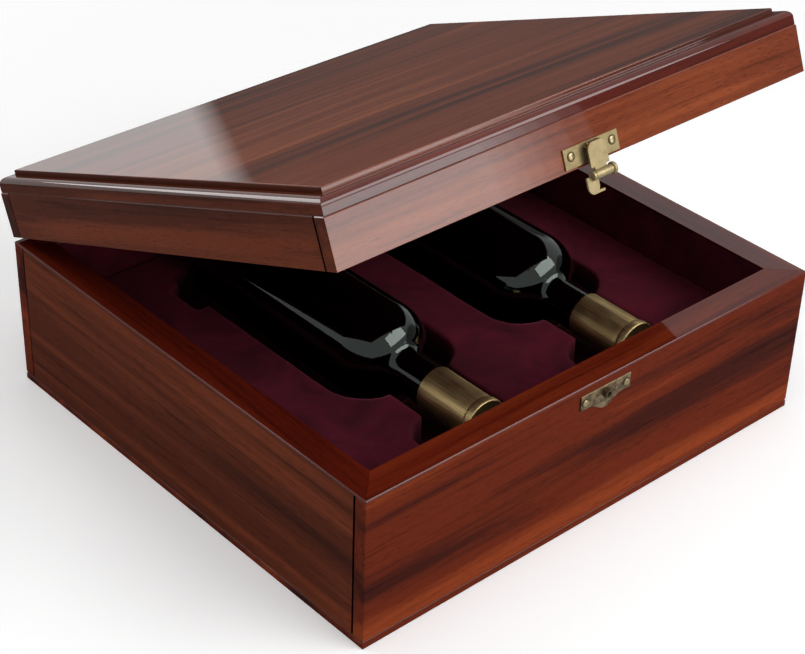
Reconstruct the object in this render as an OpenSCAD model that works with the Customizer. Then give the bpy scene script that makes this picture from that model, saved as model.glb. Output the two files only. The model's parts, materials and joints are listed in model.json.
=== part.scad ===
// A flat wooden box for two bottles lying side by side.
// X runs along the front, Y from front to back, Z up.
// The origin is the middle of the underside, and the lid is drawn part open.

/* [Box] */
// Width of the box along the front
box_w = 420; // [400:1:460]
// Depth of the box from front to back
box_d = 390; // [380:1:430]
// Height of the box from the table to the rim
box_h = 120; // [118:1:140]
// Thickness of the four wooden walls
wall_t = 18; // [14:0.5:20]
// Part of the front and back boards that laps the ends of the side boards
lap_t = 10; // [6:0.5:12]
// Thickness of the base board
base_t = 6; // [4:0.5:10]
// Thickness of the mitred strips that cap the walls
rim_t = 1.5; // [1:0.1:3]
// Small rounding on the outer edge of the rim, drawn as a flat
rim_ease = 0.7; // [0.3:0.1:0.9]
// Width of the dark groove where two boards meet
groove_w = 1.2; // [0.6:0.1:2]
// Depth of the dark groove where two boards meet
groove_d = 0.8; // [0.4:0.1:1.5]

/* [Lining] */
// Thickness of the velvet covered boards inside the walls
lining_t = 4; // [2:0.5:6]
// Shadow gap between the lining boards and the rim
lining_gap = 0.8; // [0.4:0.1:2]
// Height of the top of the velvet bed above the table
bed_top = 78; // [74:1:82]
// Gap between the bed and the lining around it
bed_fit = 0.3; // [0.2:0.1:0.8]

/* [Recess] */
// Half width of the recess at the left of the body of a bottle
recess_half = 56; // [50:1:58]
// Half width of the recess at the right of the body of a bottle
recess_right = 48; // [44:1:54]
// Depth of the recess below the top of the bed
recess_depth = 26; // [18:1:30]
// Rounding of the front corners of the recess
recess_corner_r = 30; // [20:1:34]
// Half width of the recess along the neck of a bottle
neck_half = 27; // [22:1:30]
// Half width of the finger space beside the base of a bottle
base_finger_half = 67; // [60:1:70]
// Length of the finger space beside the base of a bottle
base_finger_len = 36; // [20:1:40]
// Space in front of the shoulder of a bottle
recess_front = 9; // [4:0.5:12]
// Radius of the finger hole beside the foil
foil_finger_r = 22; // [14:1:23]
// Space behind the base of a bottle
recess_back = 5; // [2:0.5:8]
// Space left around the bottle where it lies in the bed
bottle_clear = 0.3; // [0.2:0.1:1]

/* [Bottles] */
// Distance of the left bottle from the middle of the box
left_offset = 57; // [50:1:62]
// Distance of the right bottle from the middle of the box
right_offset = 92; // [84:1:100]
// Radius of the body of a bottle
bottle_r = 38; // [36:0.5:39]
// Length of a bottle with its foil
bottle_len = 280; // [270:1:286]
// Distance of the bottle's base behind the middle of the box
bottle_back = 138; // [130:1:144]
// Length of the straight body of a bottle
body_len = 166; // [155:1:176]
// Radius of the rounded shoulder
shoulder_r = 34; // [26:1:38]
// Radius of the hollow where the shoulder meets the neck
neck_fillet_r = 9; // [6:1:14]
// Radius of the neck
neck_r = 15.8; // [13:0.1:17]
// Thickness of the glass
glass_t = 3; // [2:0.25:4]
// Length of the foil over the neck
foil_len = 52; // [40:1:56]
// Thickness of the foil
foil_t = 0.6; // [0.4:0.1:1]
// Length of the lip ring at the mouth
lip_len = 7; // [4:0.5:9]
// How far the lip ring stands out from the foil
lip_out = 0.9; // [0.4:0.1:1.5]

/* [Lid] */
// Angle of the lid as drawn
lid_open = 22; // [0:1:70]
// Height of the lid's walls
lid_wall_h = 33.6; // [32:0.2:44]
// Gap between the closed lid and the rim
lid_gap = 0.4; // [0.3:0.1:1]
// Small flat on the upper edge of the lid's walls
lid_ease = 0.8; // [0.4:0.1:1.5]
// How far the moulding is set back from the lid's walls
tier_in = 0.6; // [0.3:0.1:2]
// Height of the upright part of the moulding
tier_h = 5.5; // [3:0.5:8]
// Radius of the rounded part of the moulding
ovolo_r = 5; // [3:0.5:7]
// Width of the flat shelf of the moulding
shelf_w = 3.8; // [2:0.2:6]
// Width of the groove round the raised panel
quirk_w = 0.8; // [0.4:0.1:1.2]
// Width of the moulding strips under the panel
moulding_w = 30; // [24:1:40]
// Height of the ledge that carries the panel
ledge_h = 4.5; // [3:0.5:8]
// Height of the raised panel above the moulding
panel_step = 3.8; // [2:0.2:6]
// Small flat round the top of the raised panel
panel_ease = 0.6; // [0.3:0.1:1]
// Thickness of the velvet pad under the lid
lid_pad_t = 4; // [2:0.5:5]

/* [Hinges] */
// Distance of each hinge from the middle of the box
hinge_x = 125; // [90:1:150]
// Length of a hinge
hinge_len = 54; // [40:1:70]
// Height of each hinge leaf
hinge_leaf_h = 17; // [12:1:22]
// Thickness of the hinge leaves
hinge_t = 1.6; // [1.2:0.1:2]
// Radius of the hinge knuckles
knuckle_r = 3.4; // [3:0.1:3.8]
// Distance of the hinge axis behind the back of the box
axis_out = 6.5; // [6:0.1:7.5]
// Radius of the hinge pins
hinge_pin_r = 1.5; // [1.2:0.1:1.8]
// Gap between neighbouring knuckles
knuckle_gap = 0.4; // [0.3:0.1:0.8]
// Gap all round a turning pin
pin_clear = 0.05; // [0.02:0.01:0.1]
// Radius of a hinge screw's head
screw_head_r = 3; // [2:0.1:3.4]
// Radius of a hinge screw's shank
screw_r = 1.4; // [1:0.1:1.8]
// Length of a hinge screw
screw_len = 12; // [8:1:14]

/* [Hasp] */
// Width of the hasp plate on the lid
hasp_plate_w = 48.6; // [44:0.2:56]
// Height of the hasp plate
hasp_plate_h = 13.4; // [12:0.2:15]
// Height of the hasp plate's lower edge above the lid's lower edge
hasp_plate_low = 1.7; // [1:0.1:3]
// Thickness of the brass plates
plate_t = 1.2; // [0.8:0.1:1.5]
// Distance between the nails of the hasp plate
hasp_nail_span = 37; // [30:0.5:40]
// Radius of the round heads of the nails
nail_head_r = 2.3; // [1.5:0.1:2.6]
// Radius of the shanks of the nails
nail_r = 0.8; // [0.5:0.1:1.2]
// Length of the nails behind their heads
nail_len = 9; // [6:1:12]
// Width of the leaf of the hasp
leaf_w = 16.2; // [14:0.2:18]
// Thickness of the leaf of the hasp
leaf_t = 1.6; // [1.2:0.1:2]
// Height of the leaf below its pivot
leaf_drop = 14.4; // [13:0.2:16]
// Height of the leaf's pivot above the lid's lower edge
pivot_up = 13; // [12.5:0.1:13.3]
// Distance of the pivot in front of the plate
pivot_out = 2.1; // [2:0.1:2.6]
// Radius of the leaf's eye and of the ears that carry it
eye_r = 1.6; // [1.4:0.1:1.7]
// Radius of the hasp's pin
hasp_pin_r = 0.8; // [0.6:0.1:0.9]
// Length of the leaf's eye between the ears
eye_len = 8; // [6:0.2:9]
// Thickness of each ear
ear_t = 1.6; // [1.2:0.1:2]
// Radius of the round barrel below the leaf
barrel_r = 3.1; // [2.4:0.1:3.2]
// Length of the barrel
barrel_len = 15; // [12:0.5:18]
// Radius of the disc at the end of the barrel
disc_r = 3.4; // [3:0.1:3.5]
// Thickness of the disc
disc_t = 2; // [1:0.1:3]
// Width of the finger tab
tab_w = 10; // [7:0.1:10.4]
// Length of the finger tab below the barrel
tab_drop = 12; // [10:0.2:14]
// Distance of the barrel's axis below the leaf's pivot
barrel_drop = 19; // [18.5:0.1:20]
// Distance of the barrel's axis in front of the leaf's pivot
barrel_out = 4.1; // [4:0.1:5]
// Radius of the rivet through the barrel
rivet_r = 1.2; // [0.8:0.1:1.5]
// Height of the foot that hooks under the catch post
foot_h = 1.9; // [1.2:0.1:2.2]

/* [Catch] */
// Width of the catch plate on the box
catch_w = 47.4; // [44:0.2:56]
// Height of the straight part of the catch plate
catch_h = 11.6; // [10:0.2:13]
// Distance of the catch plate's upper edge below the rim
catch_low = 6.5; // [5.5:0.1:8]
// Height of the rounded lobe below the catch plate
lobe_h = 6.4; // [4:0.2:8]
// Width of the lobe where it leaves the plate
lobe_w = 31; // [26:0.5:36]
// Distance between the nails of the catch plate
catch_nail_span = 39.5; // [34:0.5:41]
// Distance of the catch post below the rim
post_low = 12.5; // [12:0.1:13]
// Radius of the catch post
post_r = 3.2; // [2.5:0.1:3.4]
// Height of the catch post above its plate
post_out = 3.2; // [2.6:0.1:3.4]
// Length of the short prong beside the post
prong_len = 4; // [2:0.5:5]

/* [Hidden] */

$fn = 64;
wood = "#6e2c1c";
rim_wood = "#7a2413";
velvet = "#3d101c";
brass = "#b59a62";
old_brass = "#7a673f";
dark_glass = "#10130f";
foil_gold = "#b8a06a";
wine_red = "#2b060c";
cork_tan = "#b58a5a";

// How far a cutting solid runs past the face it cuts
past = 1;
arc_steps = 10;
front_y = -box_d / 2;
back_y = box_d / 2;
rim_w = wall_t + lining_t;
wall_top = box_h - rim_t;
side_d = box_d - 2 * lap_t;
lining_top = wall_top - lining_gap;
inner_w = box_w - 2 * rim_w;
inner_d = box_d - 2 * rim_w;

lid_low = box_h + lid_gap;
hasp_nail_z = lid_low + hasp_plate_low + hasp_plate_h * 0.58;
plate_face = front_y - plate_t;
pivot_y = plate_face - pivot_out;
pivot_z = lid_low + pivot_up;
leaf_back = eye_r + 0.2;
leaf_rise = 1.7;
leaf_corner = 5;
leaf_neck_w = 10;
ear_gap = 0.3;
pin_half = eye_len / 2 + ear_gap + ear_t;
tab_gap = 0.2;
tab_eye_len = 2.2;
tab_left = barrel_len / 2 + tab_gap + tab_eye_len + 4;
tab_low = barrel_drop + tab_drop;
head_h = 0.8;
dome_r = 4;
lid_wall_top = lid_low + lid_wall_h;
field_in = tier_in + ovolo_r + shelf_w + quirk_w;
tier_top = tier_h + ovolo_r;
panel_t = tier_top + panel_step - ledge_h;
panel_w = box_w - 2 * field_in;
panel_d = box_d - 2 * field_in;

axis_y = back_y + axis_out;
axis_z = box_h + lid_gap / 2;
knuckle_len = (hinge_len - 2 * knuckle_gap) / 3;
knuckle_step = knuckle_len + knuckle_gap;
web_t = 1.8;
screw_head_h = 0.9;

bottle_z = bed_top;
shoulder_turn = acos((neck_r + neck_fillet_r - bottle_r + shoulder_r) / (shoulder_r + neck_fillet_r));
shoulder_len = (shoulder_r + neck_fillet_r) * sin(shoulder_turn);
neck_start = body_len + shoulder_len;
foil_start = bottle_len - foil_len;
base_round = 5;
punt_r = 24;
punt_h = 12;
glass_len = bottle_len - foil_t;
wine_end = foil_start + 4;
cork_start = wine_end + 1;
fill_gap = 0.2;
cork_r = neck_r - glass_t - 0.05;
foil_in_r = neck_r + 0.15;
foil_r = foil_in_r + foil_t;

// Arc of points from one angle to another round a centre
function arc(cx, cy, r, from, to, steps) =
    [for (i = [0:steps]) let (a = from + (to - from) * i / steps) [cx + r * cos(a), cy + r * sin(a)]];

// Height of a hinge's screws, above the axis for the lid and below it for the box
function screw_z(up) = axis_z + up * (knuckle_r + hinge_leaf_h / 2);

// Turns the lid's pieces about the hinge axis to the angle as drawn
module open_lid() {
    translate([0, axis_y, axis_z])
        rotate([-lid_open, 0, 0])
            translate([0, -axis_y, -axis_z])
                children();
}

// Puts a strip drawn for the front on one of the four sides of the box
module on_front() {
    translate([0, front_y, 0]) children();
}
module on_back() {
    rotate([0, 0, 180]) translate([0, front_y, 0]) children();
}
module on_left() {
    rotate([0, 0, -90]) translate([0, -box_w / 2, 0]) children();
}
module on_right() {
    rotate([0, 0, 90]) translate([0, -box_w / 2, 0]) children();
}

// A strip along X with its section drawn inward from the outer face, mitred at both ends
module mitred_strip(len, wide, high) {
    intersection() {
        rotate([90, 0, 90]) linear_extrude(height = len, center = true) children();
        linear_extrude(height = high)
            polygon([[-len / 2, 0], [len / 2, 0], [len / 2 - wide, wide], [-len / 2 + wide, wide]]);
    }
}

// A front or back board with a rebate at each end for the side boards
module lapped_board(low, high) {
    difference() {
        translate([-box_w / 2, 0, low]) cube([box_w, wall_t, high]);
        for (side = [-1, 1])
            translate([side * (box_w / 2 - wall_t / 2 + past / 2) - wall_t / 2 - past / 2, lap_t, low - past])
                cube([wall_t + past, wall_t, high + 2 * past]);
    }
}

// A side board with a narrow groove in its outer face at each end
module side_board(low, high) {
    difference() {
        translate([-side_d / 2, 0, low]) cube([side_d, wall_t, high]);
        for (side = [-1, 1])
            translate([side * (side_d / 2 - groove_w / 2 + past / 2) - groove_w / 2 - past / 2, -past, low - past])
                cube([groove_w + past, groove_d + past, high + 2 * past]);
    }
}

// Holes for the nails of a brass plate on the front, and for the hinge screws at the back
module nail_bores(span, z) {
    for (side = [-1, 1])
        translate([side * span / 2, front_y + nail_len + past, z])
            rotate([90, 0, 0]) cylinder(r = nail_r + pin_clear, h = nail_len + 3 * past);
}
module screw_bores(up) {
    for (hinge = [-1, 1], side = [-1, 1])
        translate([hinge * hinge_x + side * hinge_len / 3, back_y + past, screw_z(up)])
            rotate([90, 0, 0]) cylinder(r = screw_r + pin_clear, h = screw_len + past);
}

module box_front_board() {
    color(wood) lapped_board(base_t, wall_top - base_t);
}
module box_side_board() {
    color(wood) side_board(base_t, wall_top - base_t);
}

module front_wall() {
    color(wood) difference() {
        on_front() box_front_board();
        nail_bores(catch_nail_span, box_h - post_low);
    }
}
module back_wall() {
    color(wood) difference() {
        on_back() box_front_board();
        screw_bores(-1);
    }
}
module left_wall() { on_left() box_side_board(); }
module right_wall() { on_right() box_side_board(); }

// The base is flush with the walls, with a fine groove along its upper edge
module base_board() {
    color(wood) {
        translate([-box_w / 2, front_y, 0]) cube([box_w, box_d, base_t - groove_w]);
        translate([-box_w / 2 + groove_d, front_y + groove_d, 0])
            cube([box_w - 2 * groove_d, box_d - 2 * groove_d, base_t]);
    }
}

module rim_strip(len) {
    color(rim_wood) translate([0, 0, wall_top]) mitred_strip(len, rim_w, rim_t)
        polygon([[0, 0], [rim_w, 0], [rim_w, rim_t], [rim_ease, rim_t], [0, rim_t - rim_ease]]);
}
module rim_front() { on_front() rim_strip(box_w); }
module rim_back() { on_back() rim_strip(box_w); }
module rim_left() { on_left() rim_strip(box_d); }
module rim_right() { on_right() rim_strip(box_d); }

// Lining boards stand on the base, and the side ones fit between the front and back ones
module lining_board(len, low, high) {
    color(velvet) translate([-len / 2, wall_t, low]) cube([len, lining_t, high]);
}
module lining_front() { on_front() lining_board(box_w - 2 * wall_t, base_t, lining_top - base_t); }
module lining_back() { on_back() lining_board(box_w - 2 * wall_t, base_t, lining_top - base_t); }
module lining_left() { on_left() lining_board(inner_d, base_t, lining_top - base_t); }
module lining_right() { on_right() lining_board(inner_d, base_t, lining_top - base_t); }

// Plan of one recess round a bottle whose axis is at x = 0
module recess_plan() {
    front_of_body = bottle_back - neck_start - recess_front;
    back_of_body = bottle_back + recess_back;
    corner_y = front_of_body + recess_corner_r;
    // Beside the body, with round corners at the shoulder
    polygon(concat(
        [[recess_right, back_of_body], [-recess_half, back_of_body]],
        arc(recess_corner_r - recess_half, corner_y, recess_corner_r, 180, 270, arc_steps),
        arc(recess_right - recess_corner_r, corner_y, recess_corner_r, 270, 360, arc_steps)
    ));
    // Along the neck and the foil, up to the front lining
    translate([-neck_half, -inner_d / 2 - past]) square([2 * neck_half, front_of_body + inner_d / 2 + 2 * past]);
    // Finger space beside the base
    translate([-base_finger_half, back_of_body - 14 - base_finger_len])
        square([2 * base_finger_half, base_finger_len]);
    // Finger hole beside the foil on the left
    translate([-neck_half - 1, bottle_back - bottle_len + foil_finger_r / 2]) circle(r = foil_finger_r);
}

module bottle_recess() {
    translate([0, 0, bed_top - recess_depth]) linear_extrude(height = recess_depth + past) recess_plan();
    // Round bottom in which the body of the bottle lies
    translate([0, bottle_back + recess_back, bottle_z]) rotate([90, 0, 0])
        cylinder(r = bottle_r + bottle_clear, h = recess_back + body_len + shoulder_r * 0.9);
}

module bottle_bed() {
    color(velvet) difference() {
        translate([-inner_w / 2 + bed_fit, -inner_d / 2 + bed_fit, base_t])
            cube([inner_w - 2 * bed_fit, inner_d - 2 * bed_fit, bed_top - base_t]);
        translate([-left_offset, 0, 0]) bottle_recess();
        translate([right_offset, 0, 0]) bottle_recess();
    }
}

// The lid's walls are joined as the box's walls are, with a fine flat on the upper outer edge
module lid_edge_cut() {
    translate([0, 0, lid_wall_top]) rotate([45, 0, 0])
        cube([box_w + 2 * past, lid_ease * sqrt(2), lid_ease * sqrt(2)], center = true);
}
module lid_front_board() {
    color(wood) difference() {
        lapped_board(lid_low, lid_wall_h);
        lid_edge_cut();
        for (side = [-1, 1])
            translate([side * box_w / 2, wall_t / 2, lid_wall_top]) rotate([0, 45, 0])
                cube([lid_ease * sqrt(2), box_d, lid_ease * sqrt(2)], center = true);
    }
}
module lid_side_board() {
    color(wood) difference() {
        side_board(lid_low, lid_wall_h);
        lid_edge_cut();
    }
}
module lid_front_wall() {
    open_lid() color(wood) difference() {
        on_front() lid_front_board();
        nail_bores(hasp_nail_span, hasp_nail_z);
    }
}
module lid_back_wall() {
    open_lid() color(wood) difference() {
        on_back() lid_front_board();
        screw_bores(1);
    }
}
module lid_left_wall() { open_lid() on_left() lid_side_board(); }
module lid_right_wall() { open_lid() on_right() lid_side_board(); }

// Section of the moulding, drawn inward from the outer face
module moulding_section() {
    inner_edge = tier_in + ovolo_r + shelf_w;
    polygon(concat(
        [[tier_in, 0]],
        arc(tier_in + ovolo_r, tier_h, ovolo_r, 180, 90, arc_steps),
        [[inner_edge, tier_top], [inner_edge, ledge_h], [moulding_w, ledge_h], [moulding_w, 0]]
    ));
}
module moulding_strip(len) {
    color(wood) translate([0, 0, lid_wall_top]) mitred_strip(len, moulding_w, tier_top) moulding_section();
}
module moulding_front() { open_lid() on_front() moulding_strip(box_w); }
module moulding_back() { open_lid() on_back() moulding_strip(box_w); }
module moulding_left() { open_lid() on_left() moulding_strip(box_d); }
module moulding_right() { open_lid() on_right() moulding_strip(box_d); }

// The panel lies on the ledge of the moulding and stands above its shelf
module lid_panel() {
    open_lid() color(wood) translate([0, 0, lid_wall_top + ledge_h]) {
        translate([-panel_w / 2, -panel_d / 2, 0]) cube([panel_w, panel_d, panel_t - panel_ease]);
        translate([-panel_w / 2 + panel_ease, -panel_d / 2 + panel_ease, 0])
            cube([panel_w - 2 * panel_ease, panel_d - 2 * panel_ease, panel_t]);
    }
}

// A velvet pad fills the lid from wall to wall under the moulding
module lid_pad() {
    open_lid() color(velvet)
        translate([-box_w / 2 + wall_t, front_y + wall_t, lid_wall_top - lid_pad_t])
            cube([box_w - 2 * wall_t, box_d - 2 * wall_t, lid_pad_t]);
}
module lid_lining(len) {
    lining_board(len, lid_low + lining_gap, lid_wall_h - lining_gap - lid_pad_t);
}
module lid_lining_front() { open_lid() on_front() lid_lining(box_w - 2 * wall_t); }
module lid_lining_back() { open_lid() on_back() lid_lining(box_w - 2 * wall_t); }
module lid_lining_left() { open_lid() on_left() lid_lining(inner_d); }
module lid_lining_right() { open_lid() on_right() lid_lining(inner_d); }

// A knuckle round the hinge axis, counted from the middle one, with the web that carries it
module knuckle(index, up) {
    translate([index * knuckle_step - knuckle_len / 2, axis_y, axis_z])
        rotate([0, 90, 0]) cylinder(r = knuckle_r, h = knuckle_len);
    translate([index * knuckle_step - knuckle_len / 2, back_y, axis_z + up * (knuckle_r - web_t / 2) - web_t / 2])
        cube([knuckle_len, axis_out, web_t]);
}
module knuckle_bore() {
    translate([-hinge_len / 2 - past, axis_y, axis_z])
        rotate([0, 90, 0]) cylinder(r = hinge_pin_r + pin_clear, h = hinge_len + 2 * past);
}
module screw_holes(up) {
    for (side = [-1, 1])
        translate([side * hinge_len / 3, back_y - past, screw_z(up)])
            rotate([-90, 0, 0]) cylinder(r = screw_r + pin_clear, h = hinge_t + 2 * past);
}
module hinge_leaf(up, indices) {
    reach = hinge_leaf_h + knuckle_r;
    low = up > 0 ? lid_gap : reach;
    color(brass) difference() {
        union() {
            translate([-hinge_len / 2, back_y, up > 0 ? axis_z + low : axis_z - low])
                cube([hinge_len, hinge_t, reach - lid_gap]);
            for (index = indices) knuckle(index, up);
        }
        knuckle_bore();
        screw_holes(up);
    }
}
module hinge_screws(up) {
    color(old_brass) for (side = [-1, 1])
        translate([side * hinge_len / 3, back_y + hinge_t, screw_z(up)])
            rotate([90, 0, 0]) {
                cylinder(r = screw_r, h = screw_len);
                translate([0, 0, -screw_head_h]) cylinder(r = screw_head_r, h = screw_head_h);
            }
}
module hinge_pin() {
    color(old_brass) translate([-hinge_len / 2, axis_y, axis_z])
        rotate([0, 90, 0]) cylinder(r = hinge_pin_r, h = hinge_len);
}
module at_left_hinge() { translate([-hinge_x, 0, 0]) children(); }
module at_right_hinge() { translate([hinge_x, 0, 0]) children(); }

module left_hinge_lower_leaf() { at_left_hinge() hinge_leaf(-1, [-1, 1]); }
module right_hinge_lower_leaf() { at_right_hinge() hinge_leaf(-1, [-1, 1]); }
module left_hinge_pin() { at_left_hinge() hinge_pin(); }
module right_hinge_pin() { at_right_hinge() hinge_pin(); }
module left_hinge_lower_screws() { at_left_hinge() hinge_screws(-1); }
module right_hinge_lower_screws() { at_right_hinge() hinge_screws(-1); }
module left_hinge_upper_leaf() { open_lid() at_left_hinge() hinge_leaf(1, [0]); }
module right_hinge_upper_leaf() { open_lid() at_right_hinge() hinge_leaf(1, [0]); }
module left_hinge_upper_screws() { open_lid() at_left_hinge() hinge_screws(1); }
module right_hinge_upper_screws() { open_lid() at_right_hinge() hinge_screws(1); }

// A nail whose flat side of the head lies at the origin, with its shank along +Y
module nail() {
    rotate([90, 0, 0]) {
        translate([0, 0, -nail_len]) cylinder(r = nail_r, h = nail_len);
        intersection() {
            cylinder(r = nail_head_r, h = dome_r);
            translate([0, 0, head_h - dome_r]) sphere(r = dome_r);
        }
    }
}

module hasp_plate() {
    open_lid() color(brass) {
        difference() {
            translate([-hasp_plate_w / 2, plate_face, lid_low + hasp_plate_low])
                cube([hasp_plate_w, plate_t, hasp_plate_h]);
            nail_bores(hasp_nail_span, hasp_nail_z);
        }
        hasp_ears();
    }
}

// Two ears carry the hasp's pin in front of the plate
module hasp_ears() {
    for (side = [-1, 1])
        translate([side * (pin_half - ear_t / 2) - ear_t / 2, pivot_y, pivot_z]) difference() {
            union() {
                rotate([0, 90, 0]) cylinder(r = eye_r, h = ear_t);
                translate([0, 0, -eye_r]) cube([ear_t, pivot_out, 2 * eye_r]);
            }
            translate([-past, 0, 0]) rotate([0, 90, 0])
                cylinder(r = hasp_pin_r + pin_clear, h = ear_t + 2 * past);
        }
}
module hasp_nail_left() {
    open_lid() color(old_brass) translate([-hasp_nail_span / 2, plate_face, hasp_nail_z]) nail();
}
module hasp_nail_right() {
    open_lid() color(old_brass) translate([hasp_nail_span / 2, plate_face, hasp_nail_z]) nail();
}
module hasp_pin() {
    open_lid() color(old_brass) translate([-pin_half, pivot_y, pivot_z])
        rotate([0, 90, 0]) cylinder(r = hasp_pin_r, h = 2 * pin_half);
}

// The hasp's own pieces are drawn about its pivot, with -Y to the front
module at_pivot() {
    open_lid() translate([0, pivot_y, pivot_z]) children();
}
module leaf_outline() {
    for (side = [-1, 1])
        translate([side * (leaf_w / 2 - leaf_corner), leaf_rise - leaf_corner]) circle(r = leaf_corner);
    translate([-leaf_w / 2 + leaf_corner, leaf_rise - leaf_corner])
        square([leaf_w - 2 * leaf_corner, leaf_corner]);
    translate([-leaf_w / 2, -leaf_drop]) square([leaf_w, leaf_drop + leaf_rise - leaf_corner]);
    translate([-leaf_neck_w / 2, -barrel_drop]) square([leaf_neck_w, barrel_drop - leaf_drop + past]);
}
module leaf_plane() {
    translate([0, -leaf_back, 0]) rotate([90, 0, 0]) linear_extrude(height = leaf_t) children();
}
module hasp_leaf() {
    at_pivot() color(brass) difference() {
        union() {
            leaf_plane() leaf_outline();
            translate([-eye_len / 2, 0, 0]) rotate([0, 90, 0]) cylinder(r = eye_r, h = eye_len);
            translate([-eye_len / 2, -leaf_back - past / 2, -eye_r])
                cube([eye_len, leaf_back + past / 2, 2 * eye_r]);
            translate([-barrel_len / 2, -barrel_out, -barrel_drop])
                rotate([0, 90, 0]) cylinder(r = barrel_r, h = barrel_len);
        }
        translate([-eye_len / 2 - past, 0, 0]) rotate([0, 90, 0])
            cylinder(r = hasp_pin_r + pin_clear, h = eye_len + 2 * past);
        translate([-barrel_len / 2 - past, -barrel_out, -barrel_drop]) rotate([0, 90, 0])
            cylinder(r = rivet_r + pin_clear, h = barrel_len + 2 * past);
    }
}

// A rivet runs through the barrel and the tab's eye, with a disc for its head
module hasp_rivet() {
    at_pivot() color(brass) translate([0, -barrel_out, -barrel_drop]) rotate([0, 90, 0]) {
        translate([0, 0, -barrel_len / 2 - tab_gap - tab_eye_len])
            cylinder(r = rivet_r, h = barrel_len + tab_gap + tab_eye_len);
        translate([0, 0, barrel_len / 2]) cylinder(r = disc_r, h = disc_t);
    }
}

// The tab hangs from its eye at the left of the barrel, and its foot turns right under the post
module tab_outline() {
    tab_r = tab_w / 2;
    tab_top = barrel_drop + barrel_r + tab_gap;
    translate([-tab_left + tab_r, -tab_low + tab_r]) circle(r = tab_r);
    translate([-tab_left, -tab_low + tab_r]) square([tab_w, tab_low - tab_r - tab_top]);
    translate([-tab_left, -tab_top - past]) square([tab_left - barrel_len / 2 - tab_gap, barrel_r + past]);
    translate([-tab_left + tab_r, -tab_low]) square([tab_left - tab_r, foot_h]);
}
module hasp_tab() {
    at_pivot() color(brass) difference() {
        union() {
            leaf_plane() tab_outline();
            translate([-barrel_len / 2 - tab_gap - tab_eye_len, -barrel_out, -barrel_drop])
                rotate([0, 90, 0]) cylinder(r = barrel_r, h = tab_eye_len);
        }
        translate([-barrel_len / 2 - tab_gap - tab_eye_len - past, -barrel_out, -barrel_drop])
            rotate([0, 90, 0]) cylinder(r = rivet_r + pin_clear, h = tab_eye_len + 2 * past);
        // Keeps the rounded part clear of the barrel
        translate([-barrel_len / 2 - tab_gap, -leaf_back - leaf_t - past, -barrel_drop - barrel_r - tab_gap])
            cube([barrel_len, leaf_t + 2 * past, barrel_r]);
    }
}

// Outline of the catch plate, whose lower edge swells down into a rounded lobe
module catch_outline() {
    polygon(concat(
        [[-catch_w / 2, 0], [-catch_w / 2, catch_h], [catch_w / 2, catch_h], [catch_w / 2, 0]],
        [for (i = [0:2 * arc_steps]) let (u = 1 - i / arc_steps)
            [u * lobe_w / 2, -lobe_h * (1 + cos(180 * u)) / 2]]
    ));
}
module catch_plate() {
    color(old_brass) difference() {
        translate([0, front_y, box_h - catch_low - catch_h])
            rotate([90, 0, 0]) linear_extrude(height = plate_t) catch_outline();
        nail_bores(catch_nail_span, box_h - post_low);
    }
}
// The post is a short tube, with a prong that points right along the plate
module catch_post() {
    color(old_brass) difference() {
        translate([0, plate_face, box_h - post_low]) union() {
            rotate([90, 0, 0]) cylinder(r = post_r, h = post_out);
            translate([0, -post_out / 2, 0]) rotate([0, 90, 0]) cylinder(r = 0.7, h = post_r + prong_len);
        }
        translate([0, plate_face - post_out / 2, box_h - post_low])
            rotate([90, 0, 0]) cylinder(r = post_r * 0.6, h = post_out);
    }
}
module catch_nail_left() {
    color(old_brass) translate([-catch_nail_span / 2, plate_face, box_h - post_low]) nail();
}
module catch_nail_right() {
    color(old_brass) translate([catch_nail_span / 2, plate_face, box_h - post_low]) nail();
}

// Half outline of a bottle, as radius and distance from its base, drawn inset by the glass or the gap
function bottle_outline(inset, end) = concat(
    [[0, punt_h + inset], [punt_r, inset]],
    arc(bottle_r - base_round, base_round, base_round - inset, -90, 0, arc_steps),
    arc(bottle_r - shoulder_r, body_len, shoulder_r - inset, 0, shoulder_turn, arc_steps),
    arc(neck_r + neck_fillet_r, neck_start, neck_fillet_r + inset, 180 + shoulder_turn, 180, arc_steps),
    [[neck_r - inset, end], [0, end]]
);
module bottle_at(x) {
    translate([x, bottle_back, bottle_z]) rotate([90, 0, 0]) children();
}
module glass() {
    color(dark_glass) rotate_extrude() difference() {
        polygon(bottle_outline(0, glass_len));
        polygon(bottle_outline(glass_t, glass_len + past));
    }
}
module wine() {
    color(wine_red) rotate_extrude() polygon(bottle_outline(glass_t + fill_gap, wine_end));
}
module cork() {
    color(cork_tan) translate([0, 0, cork_start]) cylinder(r = cork_r, h = glass_len - cork_start);
}
module foil() {
    lip_start = bottle_len - lip_len;
    lip_r = foil_r + lip_out;
    lip_edge = lip_out / 2;
    color(foil_gold) rotate_extrude() polygon([
        [foil_in_r, foil_start], [foil_r, foil_start], [foil_r, lip_start], [lip_r, lip_start + lip_edge],
        [lip_r, bottle_len - lip_edge], [lip_r - lip_edge, bottle_len], [0, bottle_len],
        [0, glass_len], [foil_in_r, glass_len]
    ]);
}
module left_glass() { bottle_at(-left_offset) glass(); }
module left_wine() { bottle_at(-left_offset) wine(); }
module left_cork() { bottle_at(-left_offset) cork(); }
module left_foil() { bottle_at(-left_offset) foil(); }
module right_glass() { bottle_at(right_offset) glass(); }
module right_wine() { bottle_at(right_offset) wine(); }
module right_cork() { bottle_at(right_offset) cork(); }
module right_foil() { bottle_at(right_offset) foil(); }

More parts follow.
